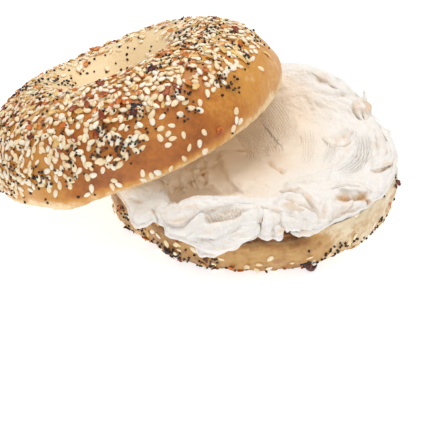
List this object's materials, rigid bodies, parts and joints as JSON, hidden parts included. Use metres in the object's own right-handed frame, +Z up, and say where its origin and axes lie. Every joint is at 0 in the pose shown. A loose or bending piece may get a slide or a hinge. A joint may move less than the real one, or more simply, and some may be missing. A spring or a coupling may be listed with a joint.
{
  "type": "bagel with cream cheese",
  "caption": "Seeded bagel cut in two: the bottom half spread thickly with cream cheese, the top half leaning on it.",
  "frame": {"origin": "bottom centre of the whole bagel's box, on the table", "axes": "+Z up; +X from the low edge of the leaning top half towards the open side of the bottom half; the front of the bagel faces -Y"},
  "size_m": [0.1509, 0.1287, 0.0601],
  "materials": {
    "bottom_crust": "pale golden baked crust with an open crumb on the cut face, dull",
    "cream_cheese": "soft off-white cream cheese with knife marks, slightly moist",
    "top_crust": "golden-brown baked crust with a faint sheen, seeds and onion flakes baked on"
  },
  "bodies": {
    "root": {"bottom_half": "bottom_crust", "cream_cheese": "cream_cheese", "top_half": "top_crust"}
  },
  "joints": []
}
